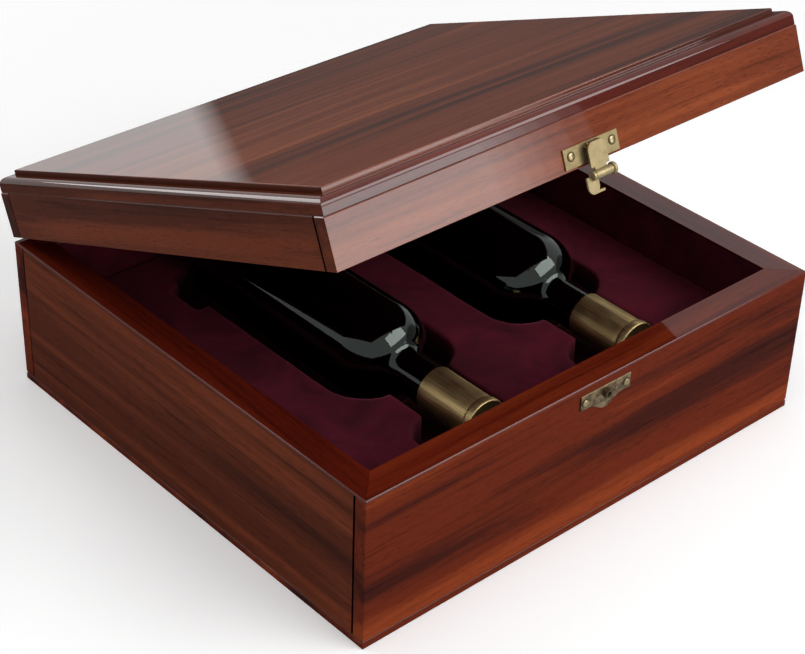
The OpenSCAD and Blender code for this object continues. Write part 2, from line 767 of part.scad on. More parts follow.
front_wall();
back_wall();
left_wall();
right_wall();
base_board();
rim_front();
rim_back();
rim_left();
rim_right();
lining_front();
lining_back();
lining_left();
lining_right();
bottle_bed();
catch_plate();
catch_post();
catch_nail_left();
catch_nail_right();
left_hinge_lower_leaf();
right_hinge_lower_leaf();
left_hinge_pin();
right_hinge_pin();
left_hinge_lower_screws();
right_hinge_lower_screws();
lid_front_wall();
lid_back_wall();
lid_left_wall();
lid_right_wall();
moulding_front();
moulding_back();
moulding_left();
moulding_right();
lid_panel();
lid_pad();
lid_lining_front();
lid_lining_back();
lid_lining_left();
lid_lining_right();
left_hinge_upper_leaf();
right_hinge_upper_leaf();
left_hinge_upper_screws();
right_hinge_upper_screws();
hasp_plate();
hasp_nail_left();
hasp_nail_right();
hasp_pin();
hasp_leaf();
hasp_rivet();
hasp_tab();
left_glass();
left_wine();
left_cork();
left_foil();
right_glass();
right_wine();
right_cork();
right_foil();
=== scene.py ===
import json
import math

import bpy
import numpy as np
from mathutils import Matrix, Vector, noise


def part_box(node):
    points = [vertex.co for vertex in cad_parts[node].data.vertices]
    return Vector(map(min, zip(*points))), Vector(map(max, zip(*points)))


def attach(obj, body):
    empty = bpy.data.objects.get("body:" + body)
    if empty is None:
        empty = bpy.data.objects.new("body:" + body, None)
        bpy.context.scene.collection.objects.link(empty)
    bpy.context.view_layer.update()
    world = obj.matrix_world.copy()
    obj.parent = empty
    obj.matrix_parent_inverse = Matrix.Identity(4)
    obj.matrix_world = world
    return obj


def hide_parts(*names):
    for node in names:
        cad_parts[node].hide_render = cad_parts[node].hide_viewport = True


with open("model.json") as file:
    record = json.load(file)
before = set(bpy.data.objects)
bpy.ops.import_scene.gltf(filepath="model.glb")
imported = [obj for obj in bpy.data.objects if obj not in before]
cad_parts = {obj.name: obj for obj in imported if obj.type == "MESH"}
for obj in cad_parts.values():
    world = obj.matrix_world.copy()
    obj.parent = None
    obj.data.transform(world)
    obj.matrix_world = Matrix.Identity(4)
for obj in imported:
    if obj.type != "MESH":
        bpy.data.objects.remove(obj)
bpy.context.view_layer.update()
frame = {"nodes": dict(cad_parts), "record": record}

bl_info = {
    "name": "Wooden wine box",
    "version": (1, 0, 0),
    "blender": (4, 5, 0),
    "location": "View3D > Sidebar > Wine Box",
    "description": "Dresses the packed wooden wine box in lacquered wood, velvet, brass and glass",
    "category": "Object",
}

NODES = frame["nodes"]
BODY_OF = {n: body for body, members in frame["record"]["behaviour"]["bodies"].items() for n in members}
MM = 0.001
LID_ANGLE = math.radians(22)
HINGE_AXIS = Vector((0, 0.2015, 0.1202))
# Turns a piece drawn with the lid closed to the lid as it stands open
LID_TURN = Matrix.Translation(HINGE_AXIS) @ Matrix.Rotation(-LID_ANGLE, 4, "X") @ Matrix.Translation(-HINGE_AXIS)
QUARTER = math.radians(90)

# The camera of the photograph, worked out from the corners of the box and the lid
CAMERA_AZIMUTH, CAMERA_ELEVATION, CAMERA_ROLL = -43.79, 33.66, 2.64
CAMERA_PLACE = (-0.8337, -0.9059, 0.8746)
CAMERA_LENS, CAMERA_SENSOR = 89.26, 36
CAMERA_SHIFT = (-0.05, 0.0068)

# Places with the lid closed, in metres. The panel and the pad have a width, a depth, an underside and a top
PANEL = (0.3996, 0.3696, 0.1585, 0.1683)
PAD = (0.3830, 0.3530, 0.1502, 0.1538)
GROOVE_NEAR, GROOVE_FAR, GROOVE_ASIDE = 0.1835, 0.1853, 0.205
PLATE_FRONT = -0.1962
BARREL_END = (0.00755, -0.2024, 0.1144)
SCREW_HEAD_BACK, SLOT_SIZE = 0.1977, (0.0080, 0.0010, 0.0008)
BOTTLES_ASIDE = {"left": -0.057, "right": 0.092}
BOTTLE_BASE, BOTTLE_AXIS_HEIGHT = 0.138, 0.078

# The same in millimetres: how far a nail is from the middle and from the floor, and the places of the screws
NAIL_PLACES = {"hasp": (18.5, 129.87), "catch": (19.75, 107.5)}
HINGE_ASIDE, SCREW_ASIDE, SCREW_UP = 125, 18, 11.9
# How far the slots of a leaf's left and right screws are turned, in degrees
SLOT_TURNS = ((-1, 24), (1, -51))

# The glass bottle, in millimetres from its base
BODY_RADIUS, SHOULDER_START, SHOULDER_ROUND = 38, 166, 34
NECK_RADIUS, NECK_ROUND, MOUTH = 15.8, 9, 279.2

# The low front lamps: their edges in degrees from the back towards the right, their distance in metres, and
# each one's share of their power for every metre of its width
LOW_LAMP_LEFT_EDGES = (146.5, 145.8, 145.1, 144.4, 143.7, 142.8, 141.7)
LOW_LAMP_RIGHT_EDGE, LOW_LAMP_DISTANCE, LOW_LAMP_SHARE = 167, 1.9, 0.19

FLOOR_RADIUS, FLOOR_FADE_START, FLOOR_FADE_END = 0.95, 0.55, 0.92

BOX_FRONT_BACK = ["front_wall", "back_wall"]
BOX_SIDES = ["left_wall", "right_wall"]
RIM_ALONG_X = ["rim_front", "rim_back"]
RIM_ALONG_Y = ["rim_left", "rim_right"]
LID_FRONT_BACK = ["lid_front_wall", "lid_back_wall"]
LID_SIDES = ["lid_left_wall", "lid_right_wall"]
MOULDING_ALONG_X = ["moulding_front", "moulding_back"]
MOULDING_ALONG_Y = ["moulding_left", "moulding_right"]
LININGS = [f"lining_{side}" for side in ("front", "back", "left", "right")]
LID_LININGS = ["lid_" + node for node in LININGS]
BRIGHT_BRASS = ["hasp_plate", "hasp_leaf", "hasp_rivet", "hasp_tab"]
AGED_BRASS = ["catch_plate", "catch_post", "hasp_pin"]
NAILS = ["catch_nail_left", "catch_nail_right", "hasp_nail_left", "hasp_nail_right"]
HINGE_HALVES = [f"{side}_hinge_{part}" for side in ("left", "right") for part in ("lower", "upper")]
HINGE_PINS = ["left_hinge_pin", "right_hinge_pin"]


def length(name, description, default):
    """A size property in metres, from a default in millimetres."""
    units = {"subtype": "DISTANCE", "unit": "LENGTH", "precision": 5}
    return bpy.props.FloatProperty(name=name, description=description, default=default * MM, min=0, **units)


def colour(name, of, default):
    """A colour property, in linear light, with the words that say what it is the colour of."""
    return bpy.props.FloatVectorProperty(
        name=name, description="Colour of " + of, default=(*default, 1), size=4, min=0, max=1, subtype="COLOR"
    )


def power(name, description, default):
    """The power of a lamp, in watts."""
    return bpy.props.FloatProperty(name=name, description=description, default=default, min=0, unit="POWER")


# The woods: what each one is for, and its dark streaks, main ground and lighter figure, in linear light
PALETTES = {
    "wood": ("front boards", (0.048, 0.0085, 0.0055), (0.130, 0.0195, 0.0072), (0.245, 0.045, 0.0130)),
    "front": ("lid's front", (0.078, 0.0150, 0.0072), (0.175, 0.0330, 0.0108), (0.290, 0.0660, 0.0190)),
    "side": ("side boards", (0.046, 0.0115, 0.0068), (0.096, 0.0215, 0.0100), (0.190, 0.0430, 0.0170)),
    "panel": ("lid's panel", (0.080, 0.018, 0.0095), (0.215, 0.047, 0.0180), (0.430, 0.120, 0.042)),
    "rim": ("rim strips", (0.032, 0.0036, 0.0020), (0.098, 0.0098, 0.0038), (0.175, 0.024, 0.0075)),
    # The grooves' colours are painted shadow, near black, for the shade down in the narrow grooves
    "joint": ("grooves by the corners", (0.004, 0.0015, 0.001), (0.009, 0.003, 0.002), (0.016, 0.005, 0.003)),
}
SHADES = {"dark": "dark streaks", "mid": "main ground", "light": "lighter figure"}


class WineBoxSizes(bpy.types.PropertyGroup):
    """Sizes that shape the finish of the pieces"""

    board_ease: length("Board edge", "Rounding of the long boards' edges", 0.6)
    side_ease: length("Side board edge", "Rounding of the grooved side boards' edges", 0.3)
    trim_ease: length("Trim edge", "Rounding of the rim and moulding edges", 0.25)
    panel_round: length("Panel edge", "Rounding of the raised panel's upper edge", 1.1)
    plate_ease: length("Brass edge", "Rounding of the brass plates' edges", 0.22)
    lining_round: length("Lining edge", "Rounding of the velvet covered boards", 1.3)
    bed_grid: length("Bed grid", "Size of the faces of the velvet bed", 2.5)
    bed_gap: length("Bed gap", "How far the bed's back edge is drawn forward", 3.0)
    pad_crown: length("Pad crown", "How far the pad under the lid may swell", 2.0)
    pin_ease: length("Pin edge", "Rounding of the hinge pins' ends", 0.3)
    screw_ease: length("Screw edge", "Rounding of the hinge screws and their slots", 0.1)
    glass_wall: length("Glass wall", "Thickness of the bottles' glass", 2.9)


class WineBoxColours(bpy.types.PropertyGroup):
    """Colours of the finishes"""

    velvet: colour("Velvet", "the velvet", (0.125, 0.0095, 0.0250))
    velvet_deep: colour("Velvet shade", "the velvet where the pile lies over", (0.046, 0.0034, 0.0092))
    velvet_sheen: colour("Velvet sheen", "the light on the pile", (0.50, 0.10, 0.18))
    # Painted shade: the velvet down in the recesses is coloured dark for the shadow there
    velvet_recess: colour("Velvet recess", "the velvet down in the recesses", (0.010, 0.0008, 0.002))
    brass: colour("Brass", "the hasp", (0.345, 0.275, 0.150))
    brass_plate: colour("Grained brass", "the hasp's plate", (0.30, 0.235, 0.120))
    brass_dull: colour("Dulled brass", "the hasp where it has dulled", (0.250, 0.195, 0.100))
    aged: colour("Aged brass", "the catch plate", (0.30, 0.22, 0.115))
    aged_dark: colour("Tarnish", "the catch plate's tarnish", (0.07, 0.05, 0.03))
    # Tarnish of the catch post, and painted shadow on the nails' collars, which stand for the dark gap round each
    # head
    post: colour("Tarnished brass", "the catch post and the nails' collars", (0.10, 0.075, 0.045))
    # Painted highlight: a brighter brass for the catch plate's upper edge, where it catches the light
    polished: colour("Polished brass", "the catch plate's worn upper edge", (0.78, 0.63, 0.40))
    foil: colour("Foil", "the capsules", (0.78, 0.59, 0.29))
    foil_dark: colour("Foil shade", "the capsules' fine lines", (0.47, 0.34, 0.15))
    glass: colour("Bottle glass", "the bottle glass", (0.020, 0.035, 0.014))
    wine: colour("Wine", "the wine in the bottles", (0.012, 0.0010, 0.0022))
    cork: colour("Cork", "the corks", (0.46, 0.27, 0.13))
    cork_pit: colour("Cork pits", "the pits in the corks", (0.08, 0.04, 0.02))
    floor: colour("Floor", "the floor", (0.95, 0.95, 0.95))


# Each wood adds three colours to the settings
for palette, (what, *colours) in PALETTES.items():
    for (shade, title), default in zip(SHADES.items(), colours):
        made = colour(f"{title}, {what}".capitalize(), f"the {title} of the {what}", default)
        WineBoxColours.__annotations__[f"{palette}_{shade}"] = made


class WineBoxLight(bpy.types.PropertyGroup):
    """Strength of the studio lamps"""

    top: power("Overhead lamp", "Large soft lamp above the box", 15.0)
    low_front: power("Low front lamps", "Soft light in front of the box, near the table", 4.6)
    high_front: power("High front lamp", "Large soft lamp high up at the front right", 24.0)
    left: power("Left lamp", "Long soft lamp behind the box, at the left", 5.5)
    edge: power("Edge lamp", "Small lamp high up behind the box, at the left", 3.2)
    ambient: bpy.props.FloatProperty(name="Ambient", description="Light from all round", default=0.26, min=0)
    mirrored: bpy.props.FloatProperty(
        name="Mirrored room", description="Brightness of the room in glossy surfaces", default=0.8, min=0
    )


# Helpers for meshes


def pick(obj):
    """Selects one object alone and makes it active."""
    bpy.ops.object.select_all(action="DESELECT")
    obj.hide_set(False)
    obj.select_set(True)
    bpy.context.view_layer.objects.active = obj


def apply_modifiers(obj):
    """Applies the modifiers of an object in their order."""
    pick(obj)
    for modifier in list(obj.modifiers):
        bpy.ops.object.modifier_apply(modifier=modifier.name)


def primitive(kind, name, scale=(1, 1, 1), **settings):
    """A new mesh made from one of Blender's primitives, with its place and size applied."""
    bpy.ops.object.select_all(action="DESELECT")
    getattr(bpy.ops.mesh, f"primitive_{kind}_add")(**settings)
    obj = bpy.context.object
    obj.name = name
    obj.scale = scale
    bpy.ops.object.transform_apply(location=True, rotation=True, scale=True)
    return obj


def merged_copy(node):
    """A copy of a CAD node's mesh with its loose triangles merged into plain faces."""
    obj = bpy.data.objects.new("finished_" + node, NODES[node].data.copy())
    bpy.context.scene.collection.objects.link(obj)
    pick(obj)
    bpy.ops.mesh.customdata_custom_splitnormals_clear()
    bpy.ops.object.mode_set(mode="EDIT")
    bpy.ops.mesh.select_all(action="SELECT")
    bpy.ops.mesh.remove_doubles(threshold=0.00001)
    bpy.ops.mesh.dissolve_limited(angle_limit=math.radians(0.4))
    bpy.ops.mesh.normals_make_consistent(inside=False)
    bpy.ops.object.mode_set(mode="OBJECT")
    return obj


def ease(obj, width, segments=2):
    """Rounds every sharp edge and keeps the flat faces flat in the shading."""
    bevel = obj.modifiers.new("Eased edges", "BEVEL")
    bevel.width = width
    bevel.segments = segments
    bevel.limit_method = "ANGLE"
    bevel.angle_limit = math.radians(40)
    bevel.use_clamp_overlap = False
    apply_modifiers(obj)
    flat_shading(obj)


def flat_shading(obj, angle=35):
    """Smooths the shading across soft edges and keeps large faces flat in it."""
    pick(obj)
    bpy.ops.object.shade_smooth_by_angle(angle=math.radians(angle))
    weighted = obj.modifiers.new("Flat faces", "WEIGHTED_NORMAL")
    weighted.keep_sharp = True
    weighted.weight = 100
    apply_modifiers(obj)


def dress(obj, key, slot, body, *nodes):
    """Gives a finished piece its finish and its place on a body, and hides what it stands for."""
    obj.data.materials.clear()
    obj.data.materials.append(finish(key))
    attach(obj, body)
    if nodes:
        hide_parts(*nodes)
    return obj


def eased_piece(node, width, key, slot, segments=2):
    """A CAD piece with eased edges and its finish, in the place of its node."""
    obj = merged_copy(node)
    ease(obj, width, segments)
    return dress(obj, key, slot, BODY_OF[node], node)


def part_finish(obj, key, chosen):
    """Gives the chosen faces of a finished piece a second finish."""
    obj.data.materials.append(finish(key))
    index = len(obj.data.materials) - 1
    for face in obj.data.polygons:
        if chosen(face):
            face.material_index = index


def paint_groove_shadow(obj, undo):
    """Paints shadow into the narrow grooves beside the corners of a side board, found with the lid closed, by
    giving their faces a near-black finish.
    """

    def in_groove(face):
        closed = undo @ face.center
        return GROOVE_NEAR < abs(closed.y) < GROOVE_FAR and abs(closed.x) > GROOVE_ASIDE

    part_finish(obj, "joint", in_groove)


def turned_piece(name, outline, steps, close_end=True):
    """A round piece along Z, extruded ring by ring through an outline of (radius, height) in millimetres."""
    radius, height = outline[0]
    obj = primitive("circle", name, vertices=steps, radius=radius * MM, location=(0, 0, height * MM))
    bpy.ops.object.mode_set(mode="EDIT")
    bpy.ops.mesh.select_mode(type="VERT")
    bpy.ops.mesh.select_all(action="SELECT")
    bpy.ops.mesh.edge_face_add()
    bpy.ops.mesh.select_all(action="SELECT")
    bpy.ops.mesh.select_mode(type="EDGE")
    for (r0, h0), (r1, h1) in zip(outline, outline[1:]):
        bpy.ops.mesh.extrude_edges_move(TRANSFORM_OT_translate={"value": (0, 0, (h1 - h0) * MM)})
        if abs(r1 - r0) > 1e-6:
            bpy.ops.transform.resize(value=(r1 / r0, r1 / r0, 1), center_override=(0, 0, h1 * MM))
    if close_end:
        bpy.ops.mesh.edge_face_add()
    bpy.ops.mesh.select_all(action="SELECT")
    bpy.ops.mesh.remove_doubles(threshold=0.000001)
    bpy.ops.mesh.normals_make_consistent(inside=False)
    bpy.ops.object.mode_set(mode="OBJECT")
    return obj


def lay_down(obj, x):
    """Lays a bottle piece drawn along Z in its recess, with its base towards the back."""
    lying = Matrix.Translation((x, BOTTLE_BASE, BOTTLE_AXIS_HEIGHT)) @ Matrix.Rotation(QUARTER, 4, "X")
    obj.data.transform(lying)
    obj.data.update()


def arc(cx, cy, r, start, end, steps):
    """Points of (radius, height) on an arc, from one angle to another."""
    made = []
    for i in range(steps + 1):
        a = math.radians(start + (end - start) * i / steps)
        made.append((cx + r * math.cos(a), cy + r * math.sin(a)))
    return made


# Helpers for materials


def link(tree, socket, value):
    """Joins an output to a socket, or sets the socket to a constant."""
    if isinstance(value, bpy.types.NodeSocket):
        tree.links.new(value, socket)
    else:
        socket.default_value = value


def add(tree, kind, inputs=None, **settings):
    """A shader node with its settings, and its inputs given by name or number."""
    made = tree.nodes.new("ShaderNode" + kind)
    for key, value in settings.items():
        setattr(made, key, value)
    for key, value in (inputs or {}).items():
        link(tree, made.inputs[key], value)
    return made


def new_material(name, **constants):
    """A material with one Principled shader, whose constants are set on its own sockets."""
    material = bpy.data.materials.new(name)
    material.use_nodes = True
    tree = material.node_tree
    tree.nodes.clear()
    shader = add(tree, "BsdfPrincipled")
    out = add(tree, "OutputMaterial")
    tree.links.new(shader.outputs[0], out.inputs[0])
    for key, value in constants.items():
        shader.inputs[key.replace("_", " ")].default_value = value
    return material, tree, shader


def place(tree, rotation=(0, 0, 0), location=(0, 0, 0)):
    """Object coordinates, turned and moved."""
    coordinates = add(tree, "TexCoord").outputs["Object"]
    return add(tree, "Mapping", {"Vector": coordinates, "Rotation": rotation, "Location": location}).outputs[0]


def clouds(tree, vector, scale, detail=2.0, roughness=0.5, distortion=0.0):
    """A noise value between 0 and 1, stretched where its scale differs between the directions."""
    if isinstance(scale, tuple):
        vector, scale = add(tree, "VectorMath", {0: vector, 1: scale}, operation="MULTIPLY").outputs[0], 1.0
    return add(
        tree,
        "TexNoise",
        {"Vector": vector, "Scale": scale, "Detail": detail, "Roughness": roughness, "Distortion": distortion},
    ).outputs["Fac"]


def maths(tree, operation, a, b):
    """The result of one operation on two values."""
    return add(tree, "Math", {0: a, 1: b}, operation=operation).outputs[0]


def weighed(tree, *parts):
    """The sum of values, each multiplied by its weight."""
    total = None
    for value, weight in parts:
        part = maths(tree, "MULTIPLY", value, weight)
        total = part if total is None else maths(tree, "ADD", total, part)
    return total


def ranged(tree, value, low, high, to_low=0.0, to_high=1.0):
    """A value carried from one range to another, and held at its ends."""
    return add(
        tree, "MapRange", {"Value": value, "From Min": low, "From Max": high, "To Min": to_low, "To Max": to_high}
    ).outputs[0]


def blend(tree, factor, a, b, kind="MIX"):
    """The blend of two colours."""
    return add(tree, "Mix", {0: factor, 6: a, 7: b}, data_type="RGBA", blend_type=kind).outputs[2]


def grey(tree, value):
    """A value as a grey colour."""
    return add(tree, "CombineColor", {0: value, 1: value, 2: value}).outputs[0]


def dimmed(shade, factor):
    """A colour with its light turned down."""
    return (*(v * factor for v in shade[:3]), shade[3])


def ramp(tree, value, stops):
    """A colour ramp through (place, colour) stops."""
    made = add(tree, "ValToRGB", {"Fac": value})
    bar = made.color_ramp
    while len(bar.elements) < len(stops):
        bar.elements.new(0.5)
    for element, (position, shade) in zip(bar.elements, stops):
        element.position = position
        element.color = shade
    return made.outputs[0]


def bump(tree, shader, height, strength, distance):
    """Fine relief on a shader, from a height."""
    made = add(tree, "Bump", {"Strength": strength, "Distance": distance, "Height": height})
    tree.links.new(made.outputs[0], shader.inputs["Normal"])


def lacquered_wood(name, shades, rotation, location, coat):
    """Lacquered dark wood whose figure runs along X once the coordinates are turned."""
    dark, mid, light = shades
    material, tree, shader = new_material(
        name, IOR=1.4, Specular_IOR_Level=0.0, Coat_Weight=coat, Coat_Roughness=0.035, Coat_IOR=1.5
    )
    grain = place(tree, rotation=rotation, location=location)
    # The figure wanders slowly across the board
    sway = clouds(tree, grain, (2.2, 5, 5), 1.0)
    wander = maths(tree, "MULTIPLY", maths(tree, "SUBTRACT", sway, 0.5), 0.035)
    shift = add(tree, "CombineXYZ", {1: wander}).outputs[0]
    grain = add(tree, "VectorMath", {0: grain, 1: shift}, operation="ADD").outputs[0]
    bands = clouds(tree, grain, (1.0, 25, 25), 2.0, 0.5)
    streaks = clouds(tree, grain, (3.2, 95, 95), 4.0, 0.6)
    fibre = clouds(tree, grain, (28, 900, 900), 2.0, 0.6)
    figure = weighed(tree, (bands, 0.62), (streaks, 0.30), (fibre, 0.08))
    base = ramp(tree, figure, [(0.388, dark), (0.475, mid), (0.515, mid), (0.615, light)])
    # Thin dark lines run along the figure
    lines = ranged(tree, clouds(tree, grain, (5, 260, 260), 2.0), 0.27, 0.42, 0.62, 1.0)
    base = blend(tree, 1.0, base, grey(tree, lines), "MULTIPLY")
    # Short open pores, seen close up as fine dark dashes
    pores = ranged(tree, clouds(tree, grain, (110, 2400, 2400), 1.0), 0.30, 0.42, 0.55, 1.0)
    base = blend(tree, 1.0, base, grey(tree, pores), "MULTIPLY")
    tree.links.new(base, shader.inputs["Base Color"])
    tree.links.new(ranged(tree, fibre, 0.3, 0.7, 0.26, 0.42), shader.inputs["Roughness"])
    bump(tree, shader, maths(tree, "MULTIPLY", fibre, pores), 0.10, 0.0002)
    return material


def velvet_cloth(name, c, tilt, top=None):
    """Short pile with soft patches where it lies over, and painted shade that darkens it below the top where one
    is given.
    """
    sheen = {"Sheen_Weight": 0.45, "Sheen_Roughness": 0.4, "Sheen_Tint": c["velvet_sheen"]}
    material, tree, shader = new_material(name, Specular_IOR_Level=0.15, **sheen)
    spot = place(tree, rotation=(tilt, 0, 0))
    patches = clouds(tree, spot, 24.0, 4.0, 0.62, 0.6)
    pile = clouds(tree, spot, 1400.0, 2.0, 0.6)
    lay = ranged(tree, patches, 0.34, 0.66)
    base = blend(tree, lay, c["velvet_deep"], c["velvet"])
    base = blend(tree, ranged(tree, pile, 0.3, 0.7, 0.0, 0.35), base, c["velvet_deep"])
    # Painted shade: below the top the colour turns towards the dark recess colour, for the shadow in the recesses
    if top:
        height = add(tree, "SeparateXYZ", {0: add(tree, "TexCoord").outputs["Object"]}).outputs[2]
        painted_recess_shade = ranged(tree, height, top - 0.012, top - 0.0015, 0.85, 0.0)
        base = blend(tree, painted_recess_shade, base, c["velvet_recess"])
    tree.links.new(base, shader.inputs["Base Color"])
    tree.links.new(ranged(tree, patches, 0.3, 0.7, 0.82, 1.0), shader.inputs["Roughness"])
    bump(tree, shader, maths(tree, "ADD", maths(tree, "MULTIPLY", pile, 0.25), patches), 0.35, 0.0012)
    return material


def brass_metal(name, bright, dull, tilt, roughness, spread):
    """Satin brass with fine brush lines and dulled patches."""
    material, tree, shader = new_material(name, Metallic=1.0)
    spot = place(tree, rotation=(tilt, 0, 0))
    patches = clouds(tree, spot, 220.0, 4.0, 0.65)
    specks = clouds(tree, spot, 1500.0, 2.0, 0.6)
    brushed = clouds(tree, spot, (260, 5200, 5200), 2.0, 0.6)
    dulled = ranged(tree, maths(tree, "ADD", patches, maths(tree, "MULTIPLY", specks, 0.35)), *spread)
    tree.links.new(blend(tree, dulled, bright, dull), shader.inputs["Base Color"])
    rough = ranged(tree, brushed, 0.3, 0.7, roughness - 0.06, roughness + 0.08)
    rough = maths(tree, "ADD", rough, maths(tree, "MULTIPLY", dulled, 0.14))
    tree.links.new(rough, shader.inputs["Roughness"])
    bump(tree, shader, maths(tree, "ADD", brushed, maths(tree, "MULTIPLY", specks, 0.5)), 0.12, 0.00008)
    return material


def foil_metal(c):
    """Satin gold foil with fine lines along the capsule."""
    material, tree, shader = new_material("gold_foil", Metallic=1.0)
    spot = place(tree)
    lines = clouds(tree, spot, (1500, 26, 1500), 3.0, 0.6)
    creases = clouds(tree, spot, (160, 60, 160), 3.0, 0.6)
    base = blend(tree, ranged(tree, lines, 0.35, 0.68), c["foil_dark"], c["foil"])
    tree.links.new(base, shader.inputs["Base Color"])
    tree.links.new(ranged(tree, creases, 0.3, 0.7, 0.38, 0.50), shader.inputs["Roughness"])
    bump(tree, shader, maths(tree, "ADD", maths(tree, "MULTIPLY", lines, 0.3), creases), 0.18, 0.0004)
    return material


def bottle_glass(c):
    """Thick dark green glass, a little uneven."""
    material, tree, shader = new_material(
        "dark_glass", Transmission_Weight=1.0, IOR=1.52, Specular_Tint=(0.88, 1.0, 0.93, 1)
    )
    spot = place(tree)
    ripple = clouds(tree, spot, (22, 9, 22), 2.0)
    tint = blend(tree, ripple, c["glass"], dimmed(c["glass"], 0.55))
    tree.links.new(tint, shader.inputs["Base Color"])
    tree.links.new(ranged(tree, ripple, 0.3, 0.7, 0.02, 0.045), shader.inputs["Roughness"])
    bump(tree, shader, ripple, 0.25, 0.0012)
    return material


def wine_liquid(c):
    """Red wine, nearly black in the bottle."""
    material, tree, shader = new_material("red_wine", Roughness=0.08, IOR=1.34)
    cloud = clouds(tree, place(tree), 30.0, 2.0)
    base = blend(tree, cloud, c["wine"], dimmed(c["wine"], 0.6))
    tree.links.new(base, shader.inputs["Base Color"])
    return material


def cork_bark(c):
    """Cork with small dark pits."""
    material, tree, shader = new_material("cork_bark", Roughness=0.85)
    spot = place(tree)
    grains = clouds(tree, spot, 420.0, 4.0, 0.7)
    pits = ranged(tree, clouds(tree, spot, (260, 120, 260), 2.0), 0.34, 0.44)
    base = blend(tree, grains, dimmed(c["cork"], 0.55), c["cork"])
    base = blend(tree, pits, c["cork_pit"], base)
    tree.links.new(base, shader.inputs["Base Color"])
    bump(tree, shader, pits, 0.4, 0.0004)
    return material


# Lacquered wood: the material, its three colours, its turn, its part of the figure and its coat of lacquer
WOODS = {
    "wood_front": ("lacquered_wood_front", "wood", (0, 0, 0), (0.31, 0.12, 0.05), 0.08),
    "wood_side": ("lacquered_wood_side", "side", (0, 0, QUARTER), (0.77, 0.52, 0.21), 0.08),
    "wood_base": ("lacquered_wood_base", "wood", (0, 0, 0), (0.05, 0.92, 0.4), 0.08),
    "base_edge": ("lacquered_base_edge", "wood", (0, 0, 0), (0.05, 0.92, 0.4), 1.0),
    "lid_front": ("lacquered_wood_lid_front", "front", (LID_ANGLE, 0, 0), (0.9, 0.4, 0.6), 1.0),
    "lid_front_ends": ("satin_wood_lid_front", "side", (LID_ANGLE, 0, 0), (0.9, 0.4, 0.6), 0.12),
    "lid_side": ("lacquered_wood_lid_side", "side", (LID_ANGLE, 0, QUARTER), (0.2, 0.7, 0.9), 0.12),
    "lid_panel": ("lacquered_wood_panel", "panel", (LID_ANGLE, 0, 0), (0.45, 0.83, 0.3), 1.0),
    "rim_x": ("lacquered_rim_front", "rim", (0, 0, 0), (0.1, 0.2, 0.7), 0.7),
    "rim_y": ("lacquered_rim_side", "rim", (0, 0, QUARTER), (0.6, 0.1, 0.2), 0.7),
    "rim_right": ("lacquered_rim_right", "rim", (0, 0, QUARTER), (0.6, 0.1, 0.2), 1.0),
    "moulding_x": ("lacquered_moulding_front", "rim", (LID_ANGLE, 0, 0), (0.3, 0.6, 0.1), 1.0),
    "moulding_y": ("lacquered_moulding_side", "side", (LID_ANGLE, 0, QUARTER), (0.8, 0.3, 0.5), 1.0),
    "lid_side_flats": ("satin_moulding_side", "side", (LID_ANGLE, 0, QUARTER), (0.8, 0.3, 0.5), 0.12),
    "joint": ("joint_shadow", "joint", (0, 0, QUARTER), (0.2, 0.2, 0.2), 0.0),
}
# Brass: the material, its bright and its dull colour, its tilt, its roughness and the spread of the dull patches
BRASSES = {
    "brass": ("satin_brass", "brass", "brass_dull", LID_ANGLE, 0.38, (0.55, 1.0)),
    "plate_brass": ("grained_brass", "brass_plate", "brass_dull", LID_ANGLE, 0.44, (0.48, 0.86)),
    "aged_brass": ("aged_brass", "aged", "aged_dark", 0, 0.34, (0.45, 0.80)),
    "tarnish": ("tarnished_brass", "post", "aged_dark", 0, 0.45, (0.4, 0.8)),
    "polished": ("polished_brass", "polished", "brass", 0, 0.28, (0.6, 0.95)),
    "nails": ("nail_brass", "brass", "brass_dull", 0, 0.28, (0.6, 0.95)),
}
MADE = {}


def made_finish(key):
    """A new material of the box, from the settings."""
    settings = bpy.context.scene.wine_box_colours
    c = {name: tuple(getattr(settings, name)) for name in WineBoxColours.__annotations__}
    if key in WOODS:
        name, palette, rotation, location, coat = WOODS[key]
        shades = [c[f"{palette}_{shade}"] for shade in SHADES]
        return lacquered_wood(name, shades, rotation, location, coat)
    if key in BRASSES:
        name, bright, dull, tilt, roughness, spread = BRASSES[key]
        return brass_metal(name, c[bright], c[dull], tilt, roughness, spread)
    if key == "velvet":
        return velvet_cloth("burgundy_velvet", c, 0)
    if key == "lid_velvet":
        return velvet_cloth("burgundy_velvet_lid", c, LID_ANGLE)
    if key == "bed_velvet":
        return velvet_cloth("burgundy_velvet_bed", c, 0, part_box("bottle_bed")[1].z)
    return {"foil": foil_metal, "glass": bottle_glass, "wine": wine_liquid, "cork": cork_bark}[key](c)


def finish(key):
    """A material of the box, made once and then shared."""
    if key not in MADE:
        MADE[key] = made_finish(key)
    return MADE[key]


# The steps, each one an operator


class WINEBOX_OT_camera(bpy.types.Operator):
    """Place the camera where the photograph was taken"""

    bl_idname = "wine_box.camera"
    bl_label = "Camera"

    def execute(self, context):
        azimuth, elevation, roll = map(math.radians, (CAMERA_AZIMUTH, CAMERA_ELEVATION, CAMERA_ROLL))
        level = math.cos(elevation)
        back = Vector((math.sin(azimuth) * level, -math.cos(azimuth) * level, math.sin(elevation)))
        level_right = (-back).cross(Vector((0, 0, 1))).normalized()
        level_up = level_right.cross(-back)
        right = math.cos(roll) * level_right + math.sin(roll) * level_up
        up = -math.sin(roll) * level_right + math.cos(roll) * level_up
        camera = bpy.data.objects.new("camera", bpy.data.cameras.new("camera"))
        context.scene.collection.objects.link(camera)
        camera.rotation_euler = Matrix((right, up, back)).transposed().to_euler()
        camera.location = CAMERA_PLACE
        camera.data.sensor_width = CAMERA_SENSOR
        camera.data.lens = CAMERA_LENS
        camera.data.shift_x, camera.data.shift_y = CAMERA_SHIFT
        camera.data.clip_start = 0.05
        context.scene.camera = camera
        return {"FINISHED"}


